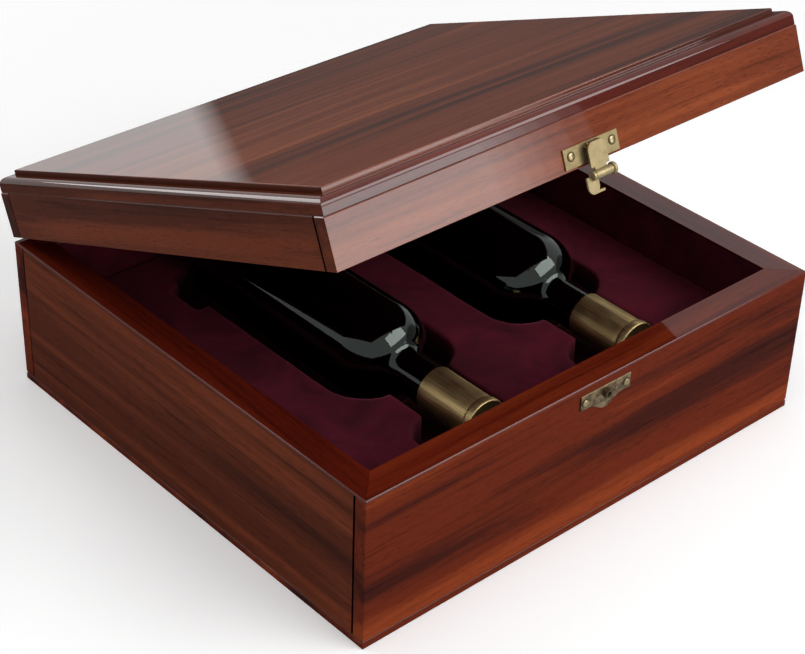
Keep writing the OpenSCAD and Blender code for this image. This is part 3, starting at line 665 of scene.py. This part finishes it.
class WINEBOX_OT_box_boards(bpy.types.Operator):
    """Ease and lacquer the box's walls, base board and mitred rim strips"""

    bl_idname = "wine_box.box_boards"
    bl_label = "Box boards"

    def execute(self, context):
        s = context.scene.wine_box_sizes
        for node in BOX_FRONT_BACK:
            eased_piece(node, s.board_ease, "wood_front", "wood", 3)
        for node in BOX_SIDES:
            paint_groove_shadow(eased_piece(node, s.side_ease, "wood_side", "wood"), Matrix())
        base = eased_piece("base_board", s.side_ease, "wood_base", "wood")
        part_finish(base, "base_edge", lambda face: 0.2 < face.normal.z < 0.98)
        for node in RIM_ALONG_X:
            eased_piece(node, s.trim_ease, "rim_x", "rim_wood")
        for node in RIM_ALONG_Y:
            eased_piece(node, s.trim_ease, "rim_right" if node == "rim_right" else "rim_y", "rim_wood")
        return {"FINISHED"}


class WINEBOX_OT_lid_boards(bpy.types.Operator):
    """Ease and lacquer the lid's walls and mouldings"""

    bl_idname = "wine_box.lid_boards"
    bl_label = "Lid boards"

    def execute(self, context):
        s = context.scene.wine_box_sizes
        for node in LID_FRONT_BACK:
            board = eased_piece(node, s.side_ease, "lid_front", "wood")
            part_finish(board, "lid_front_ends", lambda face: abs(face.normal.x) > 0.9)
        for node in LID_SIDES:
            paint_groove_shadow(eased_piece(node, s.side_ease, "lid_side", "wood"), LID_TURN.inverted())
        for node in MOULDING_ALONG_X:
            eased_piece(node, s.trim_ease, "moulding_x", "wood")
        for node in MOULDING_ALONG_Y:
            strip = eased_piece(node, s.trim_ease, "moulding_y", "wood")
            part_finish(strip, "lid_side_flats", lambda face: abs(face.normal.x) > 0.97)
        return {"FINISHED"}


class WINEBOX_OT_lid_panel(bpy.types.Operator):
    """Model the raised panel of the lid with a rounded upper edge"""

    bl_idname = "wine_box.lid_panel"
    bl_label = "Lid panel"

    def execute(self, context):
        s = context.scene.wine_box_sizes
        wide, deep, low, high = PANEL
        centre = (0, 0, (low + high) / 2)
        panel = primitive("cube", "finished_lid_panel", (wide, deep, high - low), size=1, location=centre)
        bpy.ops.object.mode_set(mode="EDIT")
        bpy.ops.mesh.select_mode(type="EDGE")
        bpy.ops.mesh.select_all(action="DESELECT")
        bpy.ops.object.mode_set(mode="OBJECT")
        corners = panel.data.vertices
        for edge in panel.data.edges:
            middle = (corners[edge.vertices[0]].co + corners[edge.vertices[1]].co) / 2
            edge.select = middle.z > high - 1e-5
        bpy.ops.object.mode_set(mode="EDIT")
        bpy.ops.mesh.bevel(offset=s.panel_round, segments=5, affect="EDGES")
        bpy.ops.object.mode_set(mode="OBJECT")
        panel.data.transform(LID_TURN)
        flat_shading(panel)
        dress(panel, "lid_panel", "wood", "lid", "lid_panel")
        part_finish(panel, "lid_side_flats", lambda face: abs(face.normal.x) > 0.5)
        return {"FINISHED"}


class WINEBOX_OT_velvet_bed(bpy.types.Operator):
    """Model the velvet bed with soft edges round its recesses"""

    bl_idname = "wine_box.velvet_bed"
    bl_label = "Velvet bed"

    def execute(self, context):
        s = context.scene.wine_box_sizes
        bed = merged_copy("bottle_bed")
        grid = bed.modifiers.new("Even faces", "REMESH")
        grid.mode = "VOXEL"
        grid.voxel_size = s.bed_grid
        grid.adaptivity = 0
        soft = bed.modifiers.new("Soft edges", "SMOOTH")
        soft.factor = 0.5
        soft.iterations = 5
        apply_modifiers(bed)
        low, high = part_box("bottle_bed")
        # Fingers and bottles leave shallow marks in the foam under the velvet
        marked_depth, broad_marks, fine_marks, proud = 4 * MM, 0.6 * MM, 0.2 * MM, 0.4 * MM
        for vertex in bed.data.vertices:
            co = vertex.co
            if co.z > high.z - marked_depth:
                co.z += broad_marks * noise.noise(co * 26) + fine_marks * (noise.noise(co * 90) - 1)
            vertex.co = Vector(
                (
                    min(max(co.x, low.x), high.x),
                    min(max(co.y, low.y), high.y - s.bed_gap),
                    min(max(co.z, low.z), high.z + proud),
                )
            )
        pick(bed)
        bpy.ops.object.shade_smooth()
        dress(bed, "bed_velvet", "velvet", "box", "bottle_bed")
        return {"FINISHED"}


class WINEBOX_OT_linings(bpy.types.Operator):
    """Round the velvet covered boards of the box and the lid"""

    bl_idname = "wine_box.linings"
    bl_label = "Linings"

    def execute(self, context):
        s = context.scene.wine_box_sizes
        for node in LININGS:
            eased_piece(node, s.lining_round, "velvet", "velvet", 4)
        for node in LID_LININGS:
            eased_piece(node, s.lining_round, "lid_velvet", "velvet", 4)
        return {"FINISHED"}


class WINEBOX_OT_lid_pad(bpy.types.Operator):
    """Swell the velvet pad under the lid by cloth simulation"""

    bl_idname = "wine_box.lid_pad"
    bl_label = "Lid pad"

    def execute(self, context):
        s = context.scene.wine_box_sizes
        wide, deep, low, high = PAD
        grid = {"x_subdivisions": 76, "y_subdivisions": 70, "size": 1, "location": (0, 0, low)}
        pad = primitive("grid", "finished_lid_pad", (wide, deep, 1), **grid)
        bpy.ops.object.mode_set(mode="EDIT")
        bpy.ops.mesh.select_all(action="SELECT")
        bpy.ops.mesh.extrude_region_move(TRANSFORM_OT_translate={"value": (0, 0, high - low)})
        bpy.ops.mesh.select_all(action="SELECT")
        bpy.ops.mesh.normals_make_consistent(inside=False)
        bpy.ops.object.mode_set(mode="OBJECT")
        rest = np.array([v.co for v in pad.data.vertices])
        # The points of the top, which is glued under the panel, are held still
        glued = rest[:, 2] > high - 1e-5
        frames = 20
        edge = (np.abs(rest[:, 0]) > wide / 2 - 1e-4) | (np.abs(rest[:, 1]) > deep / 2 - 1e-4)
        held = pad.vertex_groups.new(name="sewn_edge")
        held.add([int(i) for i in np.nonzero(edge | glued)[0]], 1.0, "REPLACE")
        cloth = pad.modifiers.new("Swell", "CLOTH")
        cloth.settings.vertex_group_mass = "sewn_edge"
        cloth.settings.use_pressure = True
        cloth.settings.uniform_pressure_force = 4
        cloth.settings.quality = 5
        cloth.settings.effector_weights.gravity = 0
        cloth.collision_settings.use_collision = False
        cloth.point_cache.frame_end = frames
        for step in range(1, frames + 1):
            context.scene.frame_set(step)
        apply_modifiers(pad)
        context.scene.frame_set(1)
        swollen = np.array([v.co for v in pad.data.vertices])
        fall = np.clip(rest[:, 2] - swollen[:, 2], 0, None)
        fall = s.pad_crown * np.tanh(fall / max(s.pad_crown, 1e-6))
        for vertex, home, drop in zip(pad.data.vertices, rest, fall):
            vertex.co = Vector((home[0], home[1], home[2] - drop))
        soften = pad.modifiers.new("Fine cloth", "SUBSURF")
        soften.levels = soften.render_levels = 1
        apply_modifiers(pad)
        pad.data.transform(LID_TURN)
        pick(pad)
        bpy.ops.object.shade_smooth()
        dress(pad, "lid_velvet", "velvet", "lid", "lid_pad")
        return {"FINISHED"}


class WINEBOX_OT_hasp_and_catch(bpy.types.Operator):
    """Ease and finish the brass hasp, its catch and their nails"""

    bl_idname = "wine_box.hasp_and_catch"
    bl_label = "Hasp and catch"

    def execute(self, context):
        s = context.scene.wine_box_sizes
        for node in BRIGHT_BRASS:
            eased_piece(node, s.plate_ease, "plate_brass" if node == "hasp_plate" else "brass", "brass")
        for node in AGED_BRASS:
            metal = "tarnish" if node == "catch_post" else "aged_brass"
            piece = eased_piece(node, s.plate_ease, metal, "aged_brass")
            if node == "catch_plate":
                # The upper edge gets a brighter brass, a painted highlight where the edge catches the light
                part_finish(piece, "polished", lambda face: face.normal.z > 0.3)
        # Each nail has a domed head in a collar of dark tarnished brass, which is a painted shadow for the dark
        # gap round the head
        collar_outline = [(3.1, -0.05), (3.25, 0.05), (3.27, 0.2), (3.05, 0.3), (2.7, 0.3), (0.5, 0.3)]
        dome_outline = (
            [(2.35, 0.2), (2.56, 0.34), (2.6, 0.5), (2.54, 0.66), (2.25, 0.86)]
            + [(1.8, 1.0), (1.2, 1.09), (0.6, 1.13), (0.2, 1.14)]
        )
        for node in NAILS:
            fitting, _, side = node.split("_")
            aside, height = NAIL_PLACES[fitting]
            centre = Matrix.Translation(((-aside if side == "left" else aside) * MM, PLATE_FRONT, height * MM))
            facing = centre @ Matrix.Rotation(QUARTER, 4, "X")
            collar = turned_piece("collar_" + node, collar_outline, 40)
            dome = turned_piece("finished_" + node, dome_outline, 40)
            for piece in (collar, dome):
                piece.data.transform(LID_TURN @ facing if fitting == "hasp" else facing)
                flat_shading(piece, 50)
            # The collar's dark finish is painted shadow round the head
            dress(collar, "tarnish", "aged_brass", BODY_OF[node])
            dress(dome, "nails", "aged_brass", BODY_OF[node], node)
        # A rounded cap ends the barrel at its right
        cap_outline = (
            [(3.5, 0), (3.9, 0.2), (4.1, 0.7), (4.1, 1.8), (3.9, 2.25)]
            + [(3.4, 2.55), (2.4, 2.7), (1.2, 2.75), (0.3, 2.76)]
        )
        cap = turned_piece("barrel_cap", cap_outline, 48)
        cap.data.transform(LID_TURN @ Matrix.Translation(BARREL_END) @ Matrix.Rotation(QUARTER, 4, "Y"))
        flat_shading(cap, 50)
        dress(cap, "brass", "brass", "hasp")
        return {"FINISHED"}


class WINEBOX_OT_hinges(bpy.types.Operator):
    """Ease and finish the two hinges and cut the slots of their screws"""

    bl_idname = "wine_box.hinges"
    bl_label = "Hinges"

    def execute(self, context):
        s = context.scene.wine_box_sizes
        for half in HINGE_HALVES:
            eased_piece(half + "_leaf", s.plate_ease, "brass", "brass")
        for node in HINGE_PINS:
            eased_piece(node, s.pin_ease, "nails", "aged_brass")
        for node in [half + "_screws" for half in HINGE_HALVES]:
            screws = merged_copy(node)
            upper = "upper" in node
            side = -1 if "left" in node else 1
            height = HINGE_AXIS.z + (SCREW_UP if upper else -SCREW_UP) * MM
            for index, angle in SLOT_TURNS:
                cutter = primitive(
                    "cube",
                    "slot_cutter",
                    SLOT_SIZE,
                    size=1,
                    location=((side * HINGE_ASIDE + index * SCREW_ASIDE) * MM, SCREW_HEAD_BACK, height),
                    rotation=(0, math.radians(angle), 0),
                )
                if upper:
                    cutter.data.transform(LID_TURN)
                slot = screws.modifiers.new("Slot", "BOOLEAN")
                slot.object = cutter
                slot.operation = "DIFFERENCE"
                apply_modifiers(screws)
                bpy.data.objects.remove(cutter)
            ease(screws, s.screw_ease, 1)
            dress(screws, "nails", "aged_brass", BODY_OF[node], node)
        return {"FINISHED"}


class WINEBOX_OT_bottles(bpy.types.Operator):
    """Turn the two bottles and their foil capsules"""

    bl_idname = "wine_box.bottles"
    bl_label = "Bottles"

    def execute(self, context):
        s = context.scene.wine_box_sizes
        # The round arc of the shoulder runs on into the hollow arc of the neck where their tangents agree
        shoulder_centre, neck_centre = BODY_RADIUS - SHOULDER_ROUND, NECK_RADIUS + NECK_ROUND
        reach = SHOULDER_ROUND + NECK_ROUND
        turn = math.degrees(math.acos((neck_centre - shoulder_centre) / reach))
        neck_start = SHOULDER_START + reach * math.sin(math.radians(turn))
        hollow_base = [(0.6 + 25.4 * i / 9, 12 * (1 - (i / 9) ** 2)) for i in range(9)]
        glass_outline = (
            hollow_base
            + [(25.6, 0.55), (27.5, 0.12), (30, 0)]
            + arc(33, 5, 5, -90, 0, 8)
            + [(BODY_RADIUS, height) for height in (20, 60, 110, 150, 163)]
            + arc(shoulder_centre, SHOULDER_START, SHOULDER_ROUND, 0, turn, 26)
            + arc(neck_centre, neck_start, NECK_ROUND, 180 + turn, 180, 12)[1:]
            + [(NECK_RADIUS, height) for height in (210, 230, 255, MOUTH)]
        )
        foil_outline = (
            [(0.6, 279.42), (15.9, 279.42), (15.97, 279.0), (15.97, 228.2), (16.1, 228.0), (16.45, 228.05)]
            + [(16.55, 228.35), (16.55, 240), (16.55, 255), (16.55, 268), (16.5, 271.6), (16.38, 272.4)]
            + [(16.42, 272.9), (16.75, 273.5), (17.12, 274.1), (17.32, 274.9), (17.4, 276.0), (17.4, 278.0)]
            + [(17.35, 278.9), (17.1, 279.6), (16.7, 279.95), (16.2, 280.0), (15.6, 279.85), (15.1, 279.65)]
            + [(14.6, 279.55), (6, 279.55), (0.6, 279.55)]
        )
        for side, x in BOTTLES_ASIDE.items():
            body = side + "_bottle"
            glass = turned_piece(side + "_bottle_glass", glass_outline, 96, close_end=False)
            wall = glass.modifiers.new("Glass wall", "SOLIDIFY")
            wall.thickness = s.glass_wall
            wall.offset = -1
            apply_modifiers(glass)
            lay_down(glass, x)
            pick(glass)
            bpy.ops.object.shade_smooth_by_angle(angle=math.radians(50))
            dress(glass, "glass", "bottle_glass", body, side + "_glass")
            foil = turned_piece(side + "_bottle_foil", foil_outline, 96)
            lay_down(foil, x)
            pick(foil)
            bpy.ops.object.shade_smooth_by_angle(angle=math.radians(40))
            dress(foil, "foil", "foil", body, side + "_foil")
            for part in ("wine", "cork"):
                node = NODES[f"{side}_{part}"]
                for slot in node.material_slots:
                    slot.material = finish(part)
        return {"FINISHED"}


class WINEBOX_OT_floor(bpy.types.Operator):
    """Lay the pale floor that fades out towards its edge"""

    bl_idname = "wine_box.floor"
    bl_label = "Floor"

    def execute(self, context):
        colours = context.scene.wine_box_colours
        round_plate = {"vertices": 128, "radius": FLOOR_RADIUS, "fill_type": "NGON"}
        floor = primitive("circle", "floor", location=(0, 0, -0.0002), **round_plate)
        material, tree, shader = new_material(
            "pale_floor", Roughness=0.9, Specular_IOR_Level=0.1, Emission_Color=(1, 1, 1, 1)
        )
        spot = place(tree)
        shade = tuple(colours.floor)
        base = blend(tree, clouds(tree, spot, 6.0, 2.0), shade, tuple(min(1, v * 1.01) for v in shade))
        tree.links.new(base, shader.inputs["Base Color"])
        # To the camera alone it is a little brighter than its light makes it, so that it meets the white
        seen_rays = add(tree, "LightPath").outputs["Is Camera Ray"]
        tree.links.new(maths(tree, "MULTIPLY", seen_rays, 0.2), shader.inputs["Emission Strength"])
        reach = add(tree, "VectorMath", {0: spot}, operation="LENGTH").outputs["Value"]
        fade = ranged(tree, reach, FLOOR_FADE_START, FLOOR_FADE_END, 1.0, 0.0)
        tree.links.new(fade, shader.inputs["Alpha"])
        floor.data.materials.append(material)
        return {"FINISHED"}


def around(azimuth, elevation, distance):
    """A place seen from the box at an angle from the back towards the right, and a height angle."""
    a, e = math.radians(azimuth), math.radians(elevation)
    level = distance * math.cos(e)
    return (level * math.sin(a), level * math.cos(a), 0.2 + distance * math.sin(e))


def lamp(name, location, aim, size, watts):
    """A soft lamp that faces a point and isn't seen by the camera."""
    data = bpy.data.lights.new(name, "AREA")
    data.shape = "RECTANGLE"
    data.size, data.size_y = size
    data.energy = watts
    made = bpy.data.objects.new(name, data)
    bpy.context.scene.collection.objects.link(made)
    made.location = location
    made.rotation_euler = (Vector(aim) - Vector(location)).to_track_quat("-Z", "Y").to_euler()
    made.visible_camera = False


class WINEBOX_OT_lamps(bpy.types.Operator):
    """Set up the soft studio lamps"""

    bl_idname = "wine_box.lamps"
    bl_label = "Lamps"

    def execute(self, context):
        lamps = context.scene.wine_box_light
        lamp("overhead_lamp", (-0.3, -0.1, 2.3), (0, 0, 0.1), (1.6, 1.6), lamps.top)
        # The low lamps share their right edge and lie over each other, so that their light on the lid's
        # front fades out towards the hasp
        for index, left_edge in enumerate(LOW_LAMP_LEFT_EDGES):
            half = (LOW_LAMP_RIGHT_EDGE - left_edge) / 2
            wide = 2 * LOW_LAMP_DISTANCE * math.tan(math.radians(half))
            lamp(
                f"low_front_lamp_{index + 1}",
                around(LOW_LAMP_RIGHT_EDGE - half, 5, LOW_LAMP_DISTANCE),
                (0, -0.17, 0.28),
                (wide, 0.5),
                lamps.low_front * wide * LOW_LAMP_SHARE,
            )
        lamp("high_front_lamp", around(155, 35, 2.0), (0, -0.1, 0.12), (1.7, 0.95), lamps.high_front)
        lamp("left_lamp", around(-22, 12, 1.9), (-0.1, 0, 0.15), (0.9, 0.45), lamps.left)
        lamp("edge_lamp", around(-43, 36, 2.0), (-0.1, 0, 0.1), (0.45, 0.45), lamps.edge)
        return {"FINISHED"}


class WINEBOX_OT_background(bpy.types.Operator):
    """Set up the white background and the room that glossy surfaces mirror"""

    bl_idname = "wine_box.background"
    bl_label = "Background"

    def execute(self, context):
        scene = context.scene
        lamps = scene.wine_box_light
        world = bpy.data.worlds.new("studio")
        scene.world = world
        world.use_nodes = True
        tree = world.node_tree
        tree.nodes.clear()
        toward = add(tree, "SeparateXYZ", {0: add(tree, "TexCoord").outputs["Generated"]}).outputs

        def right_of_line(angle):
            """How far a direction lies to the right of a line that many degrees right of straight back."""
            a = math.radians(angle)
            return weighed(tree, (toward[0], math.cos(a)), (toward[1], -math.sin(a)))

        # The mirrored room is pale, with a dark corner low down behind the box at the right
        across = right_of_line(32)
        right_of = ranged(tree, across, -0.010, 0.004)
        not_far = ranged(tree, across, 0.45, 0.6, 1.0, 0.0)
        behind = ranged(tree, toward[1], 0.25, 0.4)
        below = ranged(tree, toward[2], 0.30, 0.50, 1.0, 0.0)
        sideways = maths(tree, "MULTIPLY", right_of, not_far)
        dark = maths(tree, "MULTIPLY", sideways, maths(tree, "MULTIPLY", behind, below))
        # It is dimmer at the front right too
        dim = ranged(tree, right_of_line(28), 0.90, 0.93, 1.0, 0.3)
        level = maths(tree, "MULTIPLY", ranged(tree, dark, 0.0, 1.0, 1.0, 0.13), dim)
        mirrored = add(tree, "Background", {"Color": grey(tree, level), "Strength": lamps.mirrored})
        ambient = add(tree, "Background", {"Color": (1, 1, 1, 1), "Strength": lamps.ambient})
        white = add(tree, "Background", {"Color": (1, 1, 1, 1), "Strength": 1.0})
        rays = add(tree, "LightPath").outputs
        clear = maths(tree, "MAXIMUM", rays["Is Glossy Ray"], rays["Is Transmission Ray"])
        around_it = add(tree, "MixShader", {0: clear, 1: ambient.outputs[0], 2: mirrored.outputs[0]})
        mixed = add(tree, "MixShader", {0: rays["Is Camera Ray"], 1: around_it.outputs[0], 2: white.outputs[0]})
        out = add(tree, "OutputWorld")
        tree.links.new(mixed.outputs[0], out.inputs[0])
        scene.view_settings.view_transform = "Standard"
        return {"FINISHED"}


class WINEBOX_PT_panel(bpy.types.Panel):
    """Lists the pieces of the wine box and their settings"""

    bl_idname = "WINEBOX_PT_panel"
    bl_label = "Wine box"
    bl_space_type = "VIEW_3D"
    bl_region_type = "UI"
    bl_category = "Wine Box"

    def draw(self, context):
        layout = self.layout
        for operator in OPERATORS:
            layout.operator(operator.bl_idname)
        for title, group in (("Sizes", "sizes"), ("Colours", "colours"), ("Light", "light")):
            box = layout.box()
            box.label(text=title)
            settings = getattr(context.scene, "wine_box_" + group)
            for key in settings.__annotations__:
                box.prop(settings, key)


OPERATORS = (
    WINEBOX_OT_camera,
    WINEBOX_OT_box_boards,
    WINEBOX_OT_lid_boards,
    WINEBOX_OT_lid_panel,
    WINEBOX_OT_velvet_bed,
    WINEBOX_OT_linings,
    WINEBOX_OT_lid_pad,
    WINEBOX_OT_hasp_and_catch,
    WINEBOX_OT_hinges,
    WINEBOX_OT_bottles,
    WINEBOX_OT_floor,
    WINEBOX_OT_lamps,
    WINEBOX_OT_background,
)
GROUPS = {"sizes": WineBoxSizes, "colours": WineBoxColours, "light": WineBoxLight}


def register():
    for group in GROUPS.values():
        bpy.utils.register_class(group)
    for name, group in GROUPS.items():
        setattr(bpy.types.Scene, "wine_box_" + name, bpy.props.PointerProperty(type=group))
    for made in (*OPERATORS, WINEBOX_PT_panel):
        bpy.utils.register_class(made)


def unregister():
    for made in reversed((*OPERATORS, WINEBOX_PT_panel)):
        bpy.utils.unregister_class(made)
    for name, group in GROUPS.items():
        delattr(bpy.types.Scene, "wine_box_" + name)
        bpy.utils.unregister_class(group)


def main():
    register()
    for operator in OPERATORS:
        group, name = operator.bl_idname.split(".")
        getattr(getattr(bpy.ops, group), name)()


if __name__ == "__main__":
    main()
